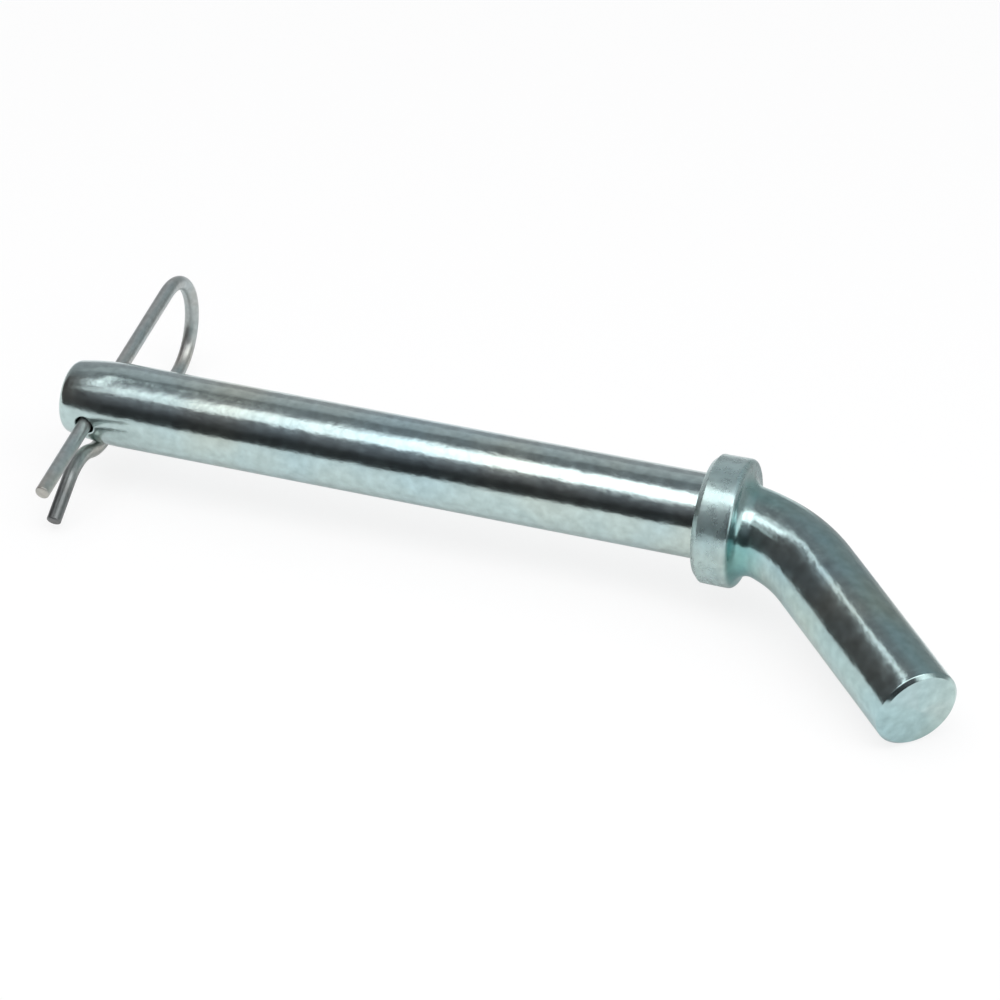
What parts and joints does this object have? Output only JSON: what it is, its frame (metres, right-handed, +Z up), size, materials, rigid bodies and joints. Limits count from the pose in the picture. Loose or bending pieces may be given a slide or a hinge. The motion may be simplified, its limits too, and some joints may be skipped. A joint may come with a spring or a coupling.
{
  "type": "coupling pin",
  "caption": "Bent-handle coupling pin with a forged collar, a long round shank and a wire spring clip through the cross hole near its tip.",
  "frame": {"origin": "centre of the collar's bearing face, on the shank's axis", "axes": "+X along the shank from its tip towards the handle; +Z up with the pin lying as it comes to rest, on its handle's end and on two places of its clip; +Y to the side of the clip's head loop"},
  "size_m": [0.1817, 0.0871, 0.0279],
  "materials": {
    "zinc_plated_steel": "gloss",
    "spring_wire": "satin"
  },
  "bodies": {
    "pin": {"coupling_pin": "zinc_plated_steel"},
    "clip": {"spring_clip": "spring_wire"}
  },
  "joints": [
    {"name": "clip_pull", "type": "slide", "parent": "pin", "child": "clip", "axis": [0, 0.9823, 0.1874], "range_m": [0, 0.04], "deforming": ["spring_clip"]}
  ]
}
